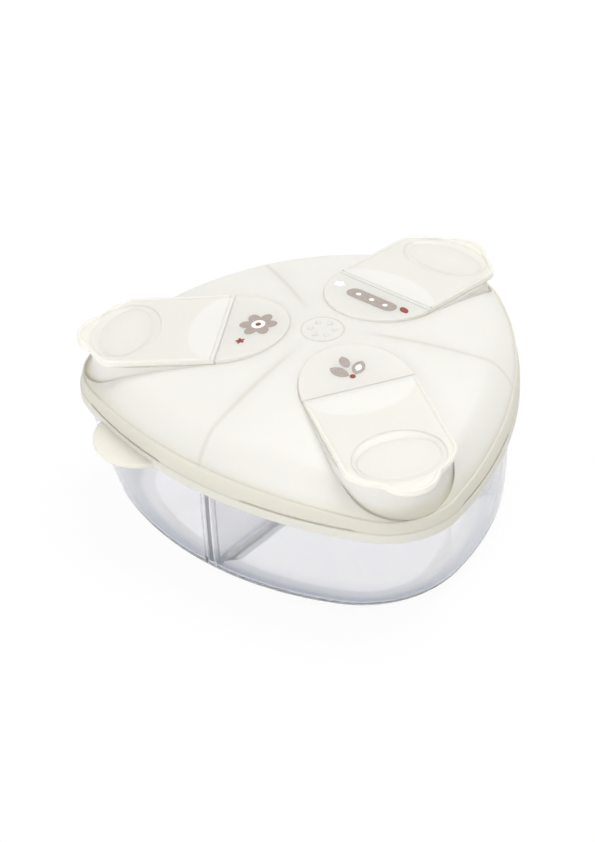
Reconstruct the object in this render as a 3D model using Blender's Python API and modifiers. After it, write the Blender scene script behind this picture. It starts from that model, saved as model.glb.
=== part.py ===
"""Milk powder container: a clear bowl with a lift-out divider, and a domed lid with three flip caps.

The bowl stands on z = 0 with the origin in the middle of its base. Seen from above it is a
triangle with bowed sides and round corners. One arm of the lid runs to each corner: a fixed
D-shaped plate near the middle, and a flip cap that hinges on the plate's straight edge and
plugs an oval spout near the corner. The first arm points along -Y.
"""

import math

import bmesh
import bpy
from mathutils import Matrix, Vector

# Sizes in metres
LID_CORNER = 0.0742
LID_BOW = 0.0090
LID_CORNER_RADIUS = 0.0240
LID_WALL = 0.0015
LID_BASE = 0.0334
FLANGE_HEIGHT = 0.0032
FLANGE_STEP = 0.0009
BEAD_RADIUS = 0.0006
LEDGE_INSET = 0.0030
LEDGE_HEIGHT = 0.0066
LEDGE_SIDE_RISE = 0.0022
SHOULDER_WIDTH = 0.0040
DOME_TOP = 0.0252
DOME_RADIUS = 0.1740

BOWL_WALL = 0.0018
BASE_CORNER_DRAFT = 0.0077
BASE_SIDE_DRAFT = 0.0009
BASE_CORNER_RADIUS = 0.0330
BASE_FILLET_WIDTH = 0.0110
BASE_FILLET_HEIGHT = 0.0055

BLADE_THICKNESS = 0.0015
HUB_RADIUS = 0.0022
GUIDE_THICKNESS = 0.0012
GUIDE_DEPTH = 0.0015
GUIDE_FOOT = 0.0016
GUIDE_RIM_DROP = 0.0040
SEAL_RIB_THICKNESS = 0.0009
SEAL_RIB_DEPTH = 0.0018

HINGE_REACH = 0.0293
HINGE_RISE = 0.0005
PLATE_INNER = 0.0100
CAP_HALF_WIDTH = 0.0172
CAP_THICKNESS = 0.0015
CAP_END_SETBACK = 0.0244
CAP_END_SPREAD = 0.0039
CAP_CORNER_RADIUS = 0.0050
LIP_SETBACK = 0.0093
LIP_RADIUS = 0.0097
LIP_NOTCH_RADIUS = 0.0030
CAP_RIM_WIDTH = 0.0012
CAP_RIM_HEIGHT = 0.0005
HINGE_RELIEF = 0.0014

ARM_MARGIN = 0.0006
ARM_END_SETBACK = 0.0224
ARM_END_SPREAD = 0.0001
ARM_CORNER_RADIUS = 0.0090
ARM_FLARE = 0.0026
ARM_SKIM = 0.0001
RECESS_STEP = 0.0007
RECESS_END_SETBACK = 0.0187
RECESS_DEPTH = 0.0002

SPOUT_SETBACK = 0.0146
SPOUT_HALF_LENGTH = 0.0076
SPOUT_HALF_WIDTH = 0.0132
PLUG_DEPTH = 0.0018
DISH_DEPTH = 0.0018
DISH_WALL = 0.0008
DISH_RIM_SHIFT = 0.0003
DISH_RIM_LENGTH = 0.0102
DISH_RIM_WIDTH = 0.0139

TAB_REACH = 0.0569
TAB_RADIUS = 0.0146
TAB_THICKNESS = 0.0015

FIT_GAP = 0.0003
EDGE_RADIUS = 0.0003
OVERRUN = 0.0020
WELD = 0.000001

# Angles and counts
ARM_NAMES = ("front", "right", "left")
SIDES = len(ARM_NAMES)
FIRST_ARM_ANGLE = math.radians(-90)
ARM_STEP = math.tau / SIDES
ARM_SLOPE = math.radians(7.13)
TAB_ANGLE = math.radians(178.6)
BEVEL_ANGLE = math.radians(50)
SMOOTH_ANGLE = math.radians(35)
CORNER_STEPS = 6
SIDE_STEPS = 4
OVAL_STEPS = 32
TAB_STEPS = 48
END_ARC_STEPS = 6
RECESS_STEPS = 10
SMALL_ARC_STEPS = 4
INNER_END_STEPS = 9

# Shares of the sizes that they follow
FLANGE_SHARES = ((0.0, 0.90), (0.30, 1.0), (1.0, 1.15))
BEAD_SHARES = ((0.0, 1.2), (0.3, 0.35), (1.0, 0.0))
SHOULDER_SHARES = (0.07, 0.22, 0.45, 0.70, 1.0)
CROWN_SHARES = (0.86, 0.70, 0.52, 0.34, 0.16, 0.0)
BASE_SHARES = (0.0, 0.5)
FILLET_SHARES = (0.0, 0.2, 0.4, 0.6, 0.8, 1.0)
WALL_SHARES = (0.33, 0.66, 1.0)
FLARE_SHARES = ((1.0, 1.0), (0.92, 0.70), (0.75, 0.35), (0.45, 0.10), (0.0, 0.0))
DISH_SHARES = ((1.0, 1.0), (0.80, 0.50), (0.45, 0.15), (0.0, 0.0))


def polar(reach, angle):
    return Vector((reach * math.cos(angle), reach * math.sin(angle)))


def between(start, end, share):
    return start + (end - start) * share


def arc(middle, radius, start, end, steps):
    """Points of an arc in the plane, from one angle to another."""
    turns = [between(start, end, step / steps) for step in range(steps + 1)]
    return [Vector(middle) + polar(radius, turn) for turn in turns]


def oval(centre, half_length, half_width):
    """Points of an ellipse that lies across an arm."""
    turns = [math.tau * step / OVAL_STEPS for step in range(OVAL_STEPS)]
    return [
        Vector((centre + half_length * math.cos(turn), half_width * math.sin(turn)))
        for turn in turns
    ]


def offset_line(points, distance, closed=False):
    """The line moved to its right, so that a counter-clockwise outline grows."""
    moved = []
    for index, point in enumerate(points):
        before = points[index - 1] if closed or index else point
        after = points[(index + 1) % len(points)] if closed or point is not points[-1] else point
        along = (after - before).normalized()
        moved.append(point + Vector((along.y, -along.x)) * distance)
    return moved


def both_sides(half):
    """A whole counter-clockwise outline from its half on the positive side of an arm."""
    joined = [Vector((point.x, -point.y)) for point in reversed(half)] + half
    return [
        point for index, point in enumerate(joined) if (point - joined[index - 1]).length > WELD
    ]


class Outline:
    """A triangle with bowed sides and round corners, seen from above."""

    def __init__(self, corner, bow, radius):
        self.corner = corner
        self.bow = bow
        self.radius = radius
        self.side = (corner + radius) / 2 + bow

    def inset(self, distance):
        return Outline(self.corner - distance, self.bow, self.radius - distance)

    def mixed(self, other, share):
        return Outline(
            between(self.corner, other.corner, share),
            between(self.bow, other.bow, share),
            between(self.radius, other.radius, share),
        )

    def points(self):
        """Three corner arcs and three side arcs, each tangent to the next."""
        out = self.corner - self.radius
        across = self.side - self.radius
        back = (out**2 - across**2) / (2 * self.bow)
        half_step = ARM_STEP / 2
        turn = math.atan2(back * math.sin(half_step), out + back * math.cos(half_step))
        found = []
        for corner in range(SIDES):
            facing = FIRST_ARM_ANGLE + corner * ARM_STEP
            middle = polar(out, facing)
            found += arc(middle, self.radius, facing - turn, facing + turn, 2 * CORNER_STEPS)
            middle = polar(-back, facing + half_step)
            side = arc(
                middle,
                self.side + back,
                facing + turn,
                facing + ARM_STEP - turn,
                2 * SIDE_STEPS,
            )
            found += side[1:-1]
        return found


LID_OUTLINE = Outline(LID_CORNER, LID_BOW, LID_CORNER_RADIUS)
RIM_OUTLINE = LID_OUTLINE.inset(FLANGE_STEP + LID_WALL + FIT_GAP)
RIM_HEIGHT = LID_BASE + LEDGE_HEIGHT - LID_WALL - 2 * FIT_GAP
BASE_CORNER = RIM_OUTLINE.corner - BASE_CORNER_DRAFT
BASE_SIDE = RIM_OUTLINE.side - BASE_SIDE_DRAFT
BASE_BOW = BASE_SIDE - (BASE_CORNER + BASE_CORNER_RADIUS) / 2
BASE_OUTLINE = Outline(BASE_CORNER, BASE_BOW, BASE_CORNER_RADIUS)

CAP_END_CENTRE = LID_CORNER - CAP_END_SETBACK
LIP_CENTRE = LID_CORNER - LIP_SETBACK
ARM_HALF_WIDTH = CAP_HALF_WIDTH + ARM_MARGIN
ARM_END_CENTRE = LID_CORNER - ARM_END_SETBACK
ARM_FLOOR_DROP = CAP_THICKNESS + FIT_GAP
RECESS_END_CENTRE = LID_CORNER - RECESS_END_SETBACK
RECESS_FLOOR = LID_BASE + LEDGE_HEIGHT - RECESS_DEPTH
SPOUT_CENTRE = LID_CORNER - SPOUT_SETBACK
DISH_RIM_CENTRE = SPOUT_CENTRE + DISH_RIM_SHIFT


def crown_height(reach):
    """Height of the dome away from its shoulder."""
    return LID_BASE + DOME_TOP - reach**2 / (2 * DOME_RADIUS)


def arm_height(reach):
    """Height of the plates' and caps' top face, which falls towards the corner."""
    hinge_height = crown_height(HINGE_REACH) + HINGE_RISE
    return hinge_height - math.tan(ARM_SLOPE) * (reach - HINGE_REACH)


def at_height(points, height):
    return [(*point, height) for point in points]


def ledge_height(outline, point):
    """Height of the skirt's top, which is lowest at the corners."""
    share = (outline.corner - point.length) / (outline.corner - outline.side)
    return LID_BASE + LEDGE_HEIGHT + LEDGE_SIDE_RISE * share


def skirt_rings(depth):
    """Rings up the skirt's flange, band and bead, or up a face some depth inside them."""
    rings = [at_height(LID_OUTLINE.inset(depth).points(), LID_BASE)]
    for inward, upward in FLANGE_SHARES:
        outline = LID_OUTLINE.inset(depth + FLANGE_STEP * inward)
        rings.append(at_height(outline.points(), LID_BASE + FLANGE_HEIGHT * upward - depth))
    steps = [(FLANGE_STEP + BEAD_RADIUS * inward, BEAD_RADIUS * down) for inward, down in BEAD_SHARES]
    for inset, drop in steps + [(LEDGE_INSET, 0)]:
        outline = LID_OUTLINE.inset(depth + inset)
        rings.append([
            (*point, ledge_height(outline, point) - drop - depth) for point in outline.points()
        ])
    return rings


def crown_rings(depth):
    """Rings from the skirt over the shoulder to the dome's middle, or some depth inside it."""
    rings = []
    for share in SHOULDER_SHARES:
        rise = math.sqrt(1 - (1 - share) ** 2)
        outline = LID_OUTLINE.inset(depth + LEDGE_INSET + SHOULDER_WIDTH * share)
        edge = outline.points()
        rings.append([
            (*point, between(ledge_height(outline, point), crown_height(point.length), rise) - depth)
            for point in edge
        ])
    for share in CROWN_SHARES:
        ring = [point * share for point in edge]
        rings.append([(*point, crown_height(point.length) - depth) for point in ring])
    return rings


def bowl_rings():
    """Rings from the middle of the base out and up the bowl's outer face to its rim."""
    flat = BASE_OUTLINE.inset(BASE_FILLET_WIDTH).points()
    rings = [at_height([point * share for point in flat], 0) for share in BASE_SHARES]
    for share in FILLET_SHARES:
        turn = share * math.pi / 2
        outline = BASE_OUTLINE.inset(BASE_FILLET_WIDTH * (1 - math.sin(turn)))
        rings.append(at_height(outline.points(), BASE_FILLET_HEIGHT * (1 - math.cos(turn))))
    for share in WALL_SHARES:
        outline = BASE_OUTLINE.mixed(RIM_OUTLINE, share)
        rings.append(at_height(outline.points(), between(BASE_FILLET_HEIGHT, RIM_HEIGHT, share)))
    return rings


def section(rings):
    """Reach and height of each ring at the middle of a side."""
    column = 2 * CORNER_STEPS + SIDE_STEPS
    return [Vector((Vector(ring[column][:2]).length, ring[column][2])) for ring in rings]


def rounded_end(half_width, centre, spread, corner_radius, start, steps):
    """An arm's end arc from a start angle, and the corner into its straight side."""
    radius = half_width + spread
    aside = half_width - corner_radius
    out = math.sqrt((radius - corner_radius) ** 2 - aside**2)
    turn = math.atan2(aside, out)
    corner = arc((centre + out, aside), corner_radius, turn, math.pi / 2, SMALL_ARC_STEPS)
    return arc((centre, 0), radius, start, turn, steps) + corner[1:]


def round_inner_end(length, half_width):
    """A quarter ellipse from the hinge line to the middle of the arm."""
    turns = [math.pi / 2 * step / INNER_END_STEPS for step in range(INNER_END_STEPS + 1)]
    return [
        Vector((HINGE_REACH - length * math.sin(turn), half_width * math.cos(turn)))
        for turn in turns
    ]


def cap_half_outline():
    """The flip cap's edge: lip, notch, end arc, corner and straight side to the hinge."""
    spread = LIP_CENTRE - CAP_END_CENTRE
    outer = CAP_HALF_WIDTH + CAP_END_SPREAD + LIP_NOTCH_RADIUS
    inner = LIP_RADIUS + LIP_NOTCH_RADIUS
    out = (spread**2 + outer**2 - inner**2) / (2 * spread)
    aside = math.sqrt(outer**2 - out**2)
    at_end = math.atan2(aside, out)
    at_lip = math.atan2(aside, out - spread)
    lip = arc((LIP_CENTRE, 0), LIP_RADIUS, 0, at_lip, END_ARC_STEPS)
    notch_centre = (CAP_END_CENTRE + out, aside)
    notch = arc(
        notch_centre, LIP_NOTCH_RADIUS, math.pi + at_lip, math.pi + at_end, SMALL_ARC_STEPS
    )
    end = rounded_end(
        CAP_HALF_WIDTH, CAP_END_CENTRE, CAP_END_SPREAD, CAP_CORNER_RADIUS, at_end, SMALL_ARC_STEPS
    )
    hinge_side = Vector((HINGE_REACH + FIT_GAP / 2, CAP_HALF_WIDTH))
    return lip + notch[1:] + end[1:] + [hinge_side]


def arm_outline(grow):
    """The raised arm's edge: round inner end, straight sides and the spout's round end."""
    half_width = ARM_HALF_WIDTH + grow
    end = rounded_end(
        half_width, ARM_END_CENTRE, ARM_END_SPREAD, ARM_CORNER_RADIUS + grow, 0, END_ARC_STEPS
    )
    length = HINGE_REACH - PLATE_INNER + ARM_MARGIN + grow
    return both_sides(end + round_inner_end(length, half_width))


def recess_outline(grow):
    """The round cut in the dome's shoulder around an arm's outer end."""
    half_width = ARM_HALF_WIDTH - RECESS_STEP + grow
    end = arc((RECESS_END_CENTRE, 0), half_width, 0, math.pi / 2, RECESS_STEPS)
    return both_sides(end + [Vector((RECESS_END_CENTRE - grow, half_width))])


def on_slope(points):
    """Plan points as places on the arm's sloping top, measured from the hinge line."""
    return [Vector(((point.x - HINGE_REACH) / math.cos(ARM_SLOPE), point.y)) for point in points]


def new_collection(name, hidden):
    made = bpy.data.collections.new(name)
    made.hide_render = hidden
    bpy.context.scene.collection.children.link(made)
    return made


def file_under(obj, group):
    for holder in list(obj.users_collection):
        holder.objects.unlink(obj)
    group.objects.link(obj)


def add_object(name, data, place=None):
    made = bpy.data.objects.new(name, data)
    bpy.context.scene.collection.objects.link(made)
    if place is not None:
        made.matrix_world = place
    return made


def lofted(name, rings, cap_low=False, cap_high=False):
    """Faces between rings; a ring that shrinks to one point closes the surface there."""
    build = bmesh.new()
    rows = [[build.verts.new(point) for point in ring] for ring in rings]
    for low, high in zip(rows, rows[1:]):
        for index in range(len(low)):
            after = (index + 1) % len(low)
            build.faces.new((low[index], low[after], high[after], high[index]))
    if cap_low:
        build.faces.new(reversed(rows[0]))
    if cap_high:
        build.faces.new(rows[-1])
    bmesh.ops.remove_doubles(build, verts=build.verts, dist=WELD)
    mesh = bpy.data.meshes.new(name)
    build.to_mesh(mesh)
    build.free()
    return add_object(name, mesh)


def block(name, levels):
    """A closed body between outlines at different heights, lowest first."""
    rings = [at_height(points, height) for points, height in levels]
    return lofted(name, rings, cap_low=True, cap_high=True)


def flat_piece(name, points, thickness, place, lift=0):
    """A flat outline with a thickness, centred on its plane or lifted from it."""
    curve = bpy.data.curves.new(name, "CURVE")
    curve.dimensions = "2D"
    curve.fill_mode = "BOTH"
    curve.extrude = thickness / 2
    spline = curve.splines.new("POLY")
    spline.points.add(len(points) - 1)
    for target, point in zip(spline.points, points):
        target.co = (*point, 0, 1)
    spline.use_cyclic_u = True
    drawn = add_object(name, curve, place)
    bpy.context.view_layer.update()
    graph = bpy.context.evaluated_depsgraph_get()
    mesh = bpy.data.meshes.new_from_object(drawn.evaluated_get(graph))
    build = bmesh.new()
    build.from_mesh(mesh)
    bmesh.ops.remove_doubles(build, verts=build.verts, dist=WELD)
    bmesh.ops.recalc_face_normals(build, faces=build.faces)
    bmesh.ops.translate(build, verts=build.verts, vec=(0, 0, lift))
    build.to_mesh(mesh)
    build.free()
    place = drawn.matrix_world.copy()
    bpy.data.objects.remove(drawn)
    return add_object(name, mesh, place)


def solidify(obj, wall):
    shell = obj.modifiers.new("wall", "SOLIDIFY")
    shell.thickness = wall
    shell.offset = -1
    shell.use_even_offset = True


def soften(obj, radius):
    edges = obj.modifiers.new("edges", "BEVEL")
    edges.width = radius
    edges.segments = 1
    edges.limit_method = "ANGLE"
    edges.angle_limit = BEVEL_ANGLE


def combine(obj, other, operation):
    step = obj.modifiers.new(other.name, "BOOLEAN")
    step.operation = operation
    step.solver = "EXACT"
    step.object = other
    other.hide_render = True
    other.display_type = "WIRE"
    file_under(other, CUTTERS)


def finish(obj, material):
    obj.data.materials.clear()
    obj.data.materials.append(material)
    obj.data.shade_smooth()
    obj.data.set_sharp_from_angle(angle=SMOOTH_ANGLE)
    file_under(obj, PARTS)


def plastic(name, colour, roughness, transmission=0):
    made = bpy.data.materials.new(name)
    made.use_nodes = True
    shader = made.node_tree.nodes["Principled BSDF"]
    shader.inputs["Base Color"].default_value = (*colour, 1)
    shader.inputs["Roughness"].default_value = roughness
    shader.inputs["Metallic"].default_value = 0
    shader.inputs["Transmission Weight"].default_value = transmission
    made.diffuse_color = (*colour, 1)
    return made


def arm_turn(arm):
    return Matrix.Rotation(arm * ARM_STEP + FIRST_ARM_ANGLE, 4, "Z")


def hinge_frame(arm):
    """Origin on the hinge line, first axis down the slope, second axis along the hinge."""
    place = Matrix.Translation((HINGE_REACH, 0, arm_height(HINGE_REACH)))
    return arm_turn(arm) @ place @ Matrix.Rotation(ARM_SLOPE, 4, "Y")


def side_plane(side, shift=0):
    """Upright plane along the middle of a side: first axis outwards, second axis up."""
    outwards = arm_turn(side) @ Matrix.Rotation(ARM_STEP / 2, 4, "Z")
    upright = Matrix.Rotation(math.pi / 2, 4, "X")
    return outwards @ upright @ Matrix.Translation((0, 0, shift))


def arm_body(name, depth):
    """An arm's raised body, which flares from its sloping top down into the skirt's ledge."""
    foot = RECESS_FLOOR - depth
    rings = [at_height(arm_outline(ARM_FLARE - depth), foot - OVERRUN)]
    for down, flare in FLARE_SHARES:
        ring = []
        for point in arm_outline(ARM_FLARE * flare - depth):
            top = arm_height(point.x) - ARM_FLOOR_DROP + ARM_SKIM - depth
            ring.append((*point, between(top, foot, down)))
        rings.append(ring)
    return lofted(name, rings, cap_low=True, cap_high=True)


def arm_pocket(name, depth):
    """The space that an arm's plate and cap lie in."""
    outline = arm_outline(FIT_GAP - ARM_MARGIN + depth)
    rings = [
        [(*point, arm_height(point.x) - drop) for point in outline]
        for drop in (ARM_FLOOR_DROP + depth, -OVERRUN)
    ]
    return lofted(name, rings, cap_low=True, cap_high=True)


def lid_solid(name, depth):
    """The lid as a full body, or the space some depth inside it."""
    rings = skirt_rings(depth) + crown_rings(depth)
    rings.insert(0, [(x, y, height - depth) for x, y, height in rings[0]])
    solid = lofted(name, rings[0 if depth else 1:], cap_low=True)
    for arm, arm_name in enumerate(ARM_NAMES):
        outline = recess_outline(depth)
        levels = [(outline, RECESS_FLOOR - depth), (outline, arm_height(0) + OVERRUN)]
        recess = block(f"recess_{arm_name}", levels)
        body = arm_body(f"arm_{arm_name}", depth)
        pocket = arm_pocket(f"pocket_{arm_name}", depth)
        for piece in (recess, body, pocket):
            piece.matrix_world = arm_turn(arm)
        combine(solid, recess, "DIFFERENCE")
        combine(solid, body, "UNION")
        combine(solid, pocket, "DIFFERENCE")
    return solid


def make_bowl():
    """Clear bowl in one shell, with a pair of upright guides for each divider blade."""
    rings = bowl_rings()
    bowl = lofted("storage_bowl", rings)
    solidify(bowl, BOWL_WALL)
    wall = [point for point in section(rings) if point.y > GUIDE_FOOT]
    wall[-1] -= (wall[-1] - wall[-2]).normalized() * GUIDE_RIM_DROP
    front = offset_line(wall, -BOWL_WALL - GUIDE_DEPTH)
    root = offset_line(wall, -BOWL_WALL / 2)
    away = (BLADE_THICKNESS + GUIDE_THICKNESS) / 2 + FIT_GAP
    for side in range(SIDES):
        for shift in (-away, away):
            outline = front + root[::-1]
            guide = flat_piece("divider_guide", outline, GUIDE_THICKNESS, side_plane(side, shift))
            combine(bowl, guide, "UNION")
    return bowl


def make_divider():
    """Three upright blades on a hub, cut to the bowl's floor and wall and to the dome."""
    floor = offset_line(section(bowl_rings()), -BOWL_WALL - FIT_GAP)
    ceiling = section(crown_rings(LID_WALL + FIT_GAP))
    foot = floor[0].y
    height = ceiling[-1].y - foot
    bpy.ops.mesh.primitive_cylinder_add(
        vertices=OVAL_STEPS,
        radius=HUB_RADIUS,
        depth=height,
        location=(0, 0, foot + height / 2),
    )
    divider = bpy.context.object
    divider.name = "divider_insert"
    for side in range(SIDES):
        blade = flat_piece("divider_blade", floor + ceiling, BLADE_THICKNESS, side_plane(side))
        combine(divider, blade, "UNION")
    return divider


def make_lift_tab():
    """Half-round tongue under one corner of the skirt, where a finger lifts the lid."""
    bpy.ops.mesh.primitive_cylinder_add(
        vertices=TAB_STEPS,
        radius=TAB_RADIUS,
        depth=TAB_THICKNESS,
        location=(*polar(TAB_REACH, TAB_ANGLE), LID_BASE + TAB_THICKNESS / 2),
    )
    tab = bpy.context.object
    tab.name = "lift_tab"
    soften(tab, EDGE_RADIUS)
    inside = LID_OUTLINE.inset(LID_WALL / 2).points()
    middle = block("tab_trim", [(inside, LID_BASE - OVERRUN), (inside, LID_BASE + FLANGE_HEIGHT)])
    combine(tab, middle, "DIFFERENCE")
    return tab


def make_lid():
    """Domed lid: shell and skirt, lift tab, three arms with spouts, ribs over the divider."""
    lid = lid_solid("lid_shell", 0)
    combine(lid, lid_solid("lid_space", LID_WALL), "DIFFERENCE")
    combine(lid, make_lift_tab(), "UNION")

    spout_outline = on_slope(oval(SPOUT_CENTRE, SPOUT_HALF_LENGTH, SPOUT_HALF_WIDTH))
    depth = ARM_FLOOR_DROP + LID_WALL + OVERRUN
    for arm, name in enumerate(ARM_NAMES):
        spout = block(f"spout_{name}", [(spout_outline, -depth), (spout_outline, OVERRUN)])
        spout.matrix_world = hinge_frame(arm)
        combine(lid, spout, "DIFFERENCE")

    lower, upper = [
        section(crown_rings(depth))[len(SHOULDER_SHARES):-1]
        for depth in (LID_WALL + SEAL_RIB_DEPTH, LID_WALL / 2)
    ]
    away = (BLADE_THICKNESS + SEAL_RIB_THICKNESS) / 2 + FIT_GAP
    for side in range(SIDES):
        for shift in (-away, away):
            outline = lower + upper[::-1]
            rib = flat_piece("seal_rib", outline, SEAL_RIB_THICKNESS, side_plane(side, shift))
            combine(lid, rib, "UNION")
    return lid


def make_plate(name, arm):
    """Fixed D-shaped plate with a straight edge for the flip cap's hinge."""
    half = round_inner_end(HINGE_REACH - PLATE_INNER, CAP_HALF_WIDTH)
    half[0] -= Vector((FIT_GAP / 2, 0))
    plate = flat_piece(
        f"hinge_plate_{name}",
        on_slope(both_sides(half)),
        CAP_THICKNESS,
        hinge_frame(arm),
        -CAP_THICKNESS / 2,
    )
    soften(plate, EDGE_RADIUS)
    return plate


def make_cap(name, arm):
    """Flip cap: lipped plate with a raised rim, a finger dish and the spout's plug under it."""
    frame = hinge_frame(arm)
    outline = both_sides(cap_half_outline())
    thickness = CAP_THICKNESS + CAP_RIM_HEIGHT
    lift = CAP_RIM_HEIGHT - thickness / 2
    cap = flat_piece(f"flip_cap_{name}", on_slope(outline), thickness, frame, lift)
    soften(cap, EDGE_RADIUS)

    plug_outline = on_slope(
        oval(SPOUT_CENTRE, SPOUT_HALF_LENGTH - FIT_GAP, SPOUT_HALF_WIDTH - FIT_GAP)
    )
    plug_foot = CAP_THICKNESS + PLUG_DEPTH
    plug = block(f"plug_{name}", [(plug_outline, -plug_foot), (plug_outline, -CAP_THICKNESS / 2)])

    relief = HINGE_REACH + HINGE_RELIEF
    edge = CAP_HALF_WIDTH - CAP_RIM_WIDTH
    past = CAP_HALF_WIDTH + OVERRUN
    inner = [point for point in offset_line(outline, -CAP_RIM_WIDTH, True) if point.x > relief]
    hinge_half = [
        Vector((relief, edge)),
        Vector((relief, past)),
        Vector((HINGE_REACH - OVERRUN, past)),
    ]
    mirrored = [Vector((point.x, -point.y)) for point in reversed(hinge_half)]
    height = CAP_RIM_HEIGHT + OVERRUN
    field = flat_piece(
        f"field_{name}", on_slope(inner + hinge_half + mirrored), height, frame, height / 2
    )

    floor_length = SPOUT_HALF_LENGTH - FIT_GAP - DISH_WALL
    floor_width = SPOUT_HALF_WIDTH - FIT_GAP - DISH_WALL
    levels = []
    for down, outward in DISH_SHARES:
        points = oval(
            between(SPOUT_CENTRE, DISH_RIM_CENTRE, outward),
            between(floor_length, DISH_RIM_LENGTH, outward),
            between(floor_width, DISH_RIM_WIDTH, outward),
        )
        levels.append((on_slope(points), -DISH_DEPTH * (1 - down)))
    levels = levels[::-1] + [(levels[0][0], OVERRUN)]
    dish = block(f"dish_{name}", levels)

    for piece in (plug, dish):
        piece.matrix_world = frame
    combine(cap, plug, "UNION")
    combine(cap, field, "DIFFERENCE")
    combine(cap, dish, "DIFFERENCE")
    return cap


for old in list(bpy.data.objects):
    bpy.data.objects.remove(old)

PARTS = new_collection("milk_powder_container", hidden=False)
CUTTERS = new_collection("cutters", hidden=True)

finish(make_bowl(), plastic("clear_bowl", (0.86, 0.88, 0.92), 0.08, 0.9))
finish(make_divider(), plastic("clear_divider", (0.80, 0.83, 0.88), 0.12, 0.8))
finish(make_lid(), plastic("ivory_lid", (0.87, 0.85, 0.78), 0.40))
for number, arm_name in enumerate(ARM_NAMES):
    plate_material = plastic(f"ivory_plate_{arm_name}", (0.88, 0.86, 0.80), 0.35)
    finish(make_plate(arm_name, number), plate_material)
    cap_material = plastic(f"ivory_cap_{arm_name}", (0.88, 0.87, 0.82), 0.35)
    finish(make_cap(arm_name, number), cap_material)
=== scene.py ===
"""Looks of the milk powder container: milky lid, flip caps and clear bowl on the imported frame."""

import math

import bmesh
import bpy
from mathutils import Matrix, Vector


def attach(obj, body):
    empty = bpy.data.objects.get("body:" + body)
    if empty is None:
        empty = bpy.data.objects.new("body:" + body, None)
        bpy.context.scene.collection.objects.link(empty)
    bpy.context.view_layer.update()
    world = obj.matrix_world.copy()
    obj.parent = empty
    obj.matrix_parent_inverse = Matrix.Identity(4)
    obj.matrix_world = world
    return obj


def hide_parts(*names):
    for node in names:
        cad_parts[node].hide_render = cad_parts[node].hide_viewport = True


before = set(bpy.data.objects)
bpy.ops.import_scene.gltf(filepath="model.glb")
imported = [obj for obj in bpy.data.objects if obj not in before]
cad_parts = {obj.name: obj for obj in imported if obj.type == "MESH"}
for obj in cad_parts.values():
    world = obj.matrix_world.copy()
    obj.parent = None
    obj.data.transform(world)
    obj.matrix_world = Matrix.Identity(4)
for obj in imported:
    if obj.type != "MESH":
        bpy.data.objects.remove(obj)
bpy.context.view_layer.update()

# Camera, fitted to the photograph, in metres and degrees
CAMERA_AZIMUTH = -19.435
CAMERA_ELEVATION = 35.977
CAMERA_ROLL = -1.899
CAMERA_DISTANCE = 0.84151
CAMERA_TARGET = (-0.011456, -0.007709, 0.0334)
CAMERA_FOCAL_PIXELS = 2838.4
IMAGE_HEIGHT_PIXELS = 842
SENSOR_LONG_SIDE = 36.0

# Lid in metres: outline seen from above, skirt, shoulder and dome
LID_CORNER = 0.0742
LID_BOW = 0.0090
LID_CORNER_RADIUS = 0.0240
LID_WALL = 0.0015
LID_BASE = 0.0334
FLANGE_HEIGHT = 0.0032
FLANGE_ROUND = 0.0004
BAND_INSET = 0.0009
BAND_STEP = 0.0003
SLOT_DEPTH = 0.0006
SLOT_HEIGHT = 0.0005
BEAD_INSET = 0.0013
BEAD_HEIGHT = 0.0004
LEDGE_INSET = 0.0016
LEDGE_HEIGHT = 0.0066
LEDGE_SIDE_RISE = 0.0022
SHOULDER_WIDTH = 0.0078
DOME_TOP = 0.0252
DOME_RADIUS = 0.1740
RIB_THICKNESS = 0.0009
RIB_DEPTH = 0.0018
RIB_SPACING = 0.0030
TAB_REACH = 0.0569
TAB_RADIUS = 0.0146
TAB_THICKNESS = 0.0015

# Bowl
BOWL_WALL = 0.0018
BASE_CORNER_DRAFT = 0.0077
BASE_SIDE_DRAFT = 0.0009
BASE_CORNER_RADIUS = 0.0330
BASE_FILLET_WIDTH = 0.0110
BASE_FILLET_HEIGHT = 0.0055
WALL_BULGE = 0.3
GUIDE_SPACING = 0.0033
GUIDE_THICKNESS = 0.0012
GUIDE_DEPTH = 0.0015
GUIDE_FOOT = 0.0016
GUIDE_RIM_DROP = 0.0040
BLADE_HALF = 0.00075
BLADE_HUB_ROUND = 0.0060
BLADE_FOOT_ROUND = 0.0030
BLADE_TIP_PLAIN = 0.0040
BLADE_FLARE_END = 0.0090

# Arms: fixed plates, flip caps, towers under them and spouts
HINGE_REACH = 0.0293
HINGE_RISE = 0.0005
PLATE_INNER = 0.0100
CAP_HALF_WIDTH = 0.0172
CAP_THICKNESS = 0.0015
CAP_END_CENTRE = 0.0498
CAP_END_SPREAD = 0.0039
CAP_CORNER_RADIUS = 0.0050
LIP_CENTRE = 0.0649
LIP_RADIUS = 0.0097
LIP_NOTCH_RADIUS = 0.0030
CAP_RIM_WIDTH = 0.0013
CAP_RIM_HEIGHT = 0.0005
CAP_EDGE_ROUND = 0.0003
LIT_PAD_LENGTH = 0.0110
HINGE_RELIEF = 0.0014
RELIEF_DEPTH = 0.00015
ARM_MARGIN = 0.0006
ARM_END_CENTRE = 0.0518
ARM_END_SPREAD = 0.0001
ARM_CORNER_RADIUS = 0.0090
ARM_FLARE = 0.0026
ARM_SKIM = 0.00005
RECESS_STEP = 0.0007
RECESS_END_CENTRE = 0.0555
RECESS_DEPTH = 0.0002
SPOUT_CENTRE = 0.0596
SPOUT_HALF_LENGTH = 0.0076
SPOUT_HALF_WIDTH = 0.0132
PLUG_DEPTH = 0.0018
DISH_CENTRE = 0.0598
DISH_FLOOR_LENGTH = 0.0076
DISH_FLOOR_WIDTH = 0.0124
DISH_RIM_LENGTH = 0.0105
DISH_RIM_WIDTH = 0.0139
DISH_DEPTH = 0.0006
WEB_WIDTH = 0.00024
WEB_DROP = 0.00035
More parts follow.
